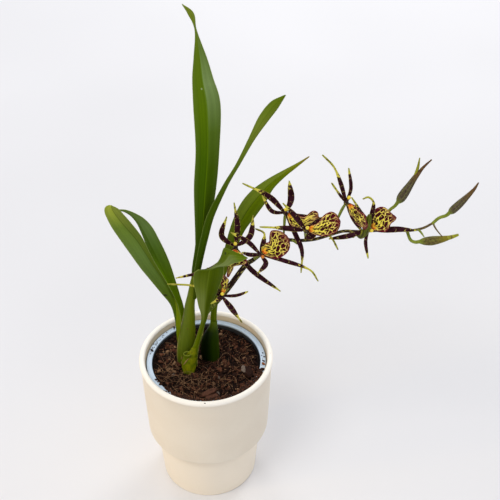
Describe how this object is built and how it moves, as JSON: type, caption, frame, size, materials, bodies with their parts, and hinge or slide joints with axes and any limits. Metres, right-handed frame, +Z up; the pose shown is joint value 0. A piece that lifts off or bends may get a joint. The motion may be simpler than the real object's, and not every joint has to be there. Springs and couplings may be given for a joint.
{
  "type": "potted cambria orchid",
  "caption": "Cambria orchid with strap leaves and an arching spray of dark spidery flowers with mottled lips, in a stepped ceramic pot.",
  "frame": {"origin": "centre of the pot's underside, on the surface that it stands on", "axes": "+Z up; -Y towards the viewer, the side that the flowers face; +X to the viewer's right, the way the flower spray arches"},
  "size_m": [0.3409, 0.14, 0.5595],
  "materials": {
    "pot": "satin",
    "liner": "satin",
    "mix": "matte",
    "leaf": "satin",
    "sheath": "satin",
    "bulb": "satin",
    "stalk": "satin",
    "tepal": "matte",
    "lip": "matte",
    "column": "matte",
    "bud": "matte"
  },
  "bodies": {
    "root": {"outer_pot": "pot", "nursery_pot": "liner", "substrate": "mix", "growth_sheath": "sheath", "bulb_front": "sheath", "bulb_back": "bulb", "leaf_tall": "leaf", "leaf_right": "leaf", "leaf_left_front": "leaf", "leaf_left_back": "leaf", "leaf_back": "leaf", "leaf_bent": "leaf", "flower_spike": "stalk", "bloom_1_tepals": "tepal", "bloom_1_lip": "lip", "bloom_1_column": "column", "bloom_2_tepals": "tepal", "bloom_2_lip": "lip", "bloom_2_column": "column", "bloom_3_tepals": "tepal", "bloom_3_lip": "lip", "bloom_3_column": "column", "bloom_4_tepals": "tepal", "bloom_4_lip": "lip", "bloom_4_column": "column", "bloom_5_tepals": "tepal", "bloom_5_lip": "lip", "bloom_5_column": "column", "bloom_6_tepals": "tepal", "bloom_6_lip": "lip", "bloom_6_column": "column", "bloom_7_tepals": "tepal", "bloom_7_lip": "lip", "bloom_7_column": "column", "bud_1": "bud", "bud_2": "bud", "bud_3": "bud"}
  },
  "joints": []
}
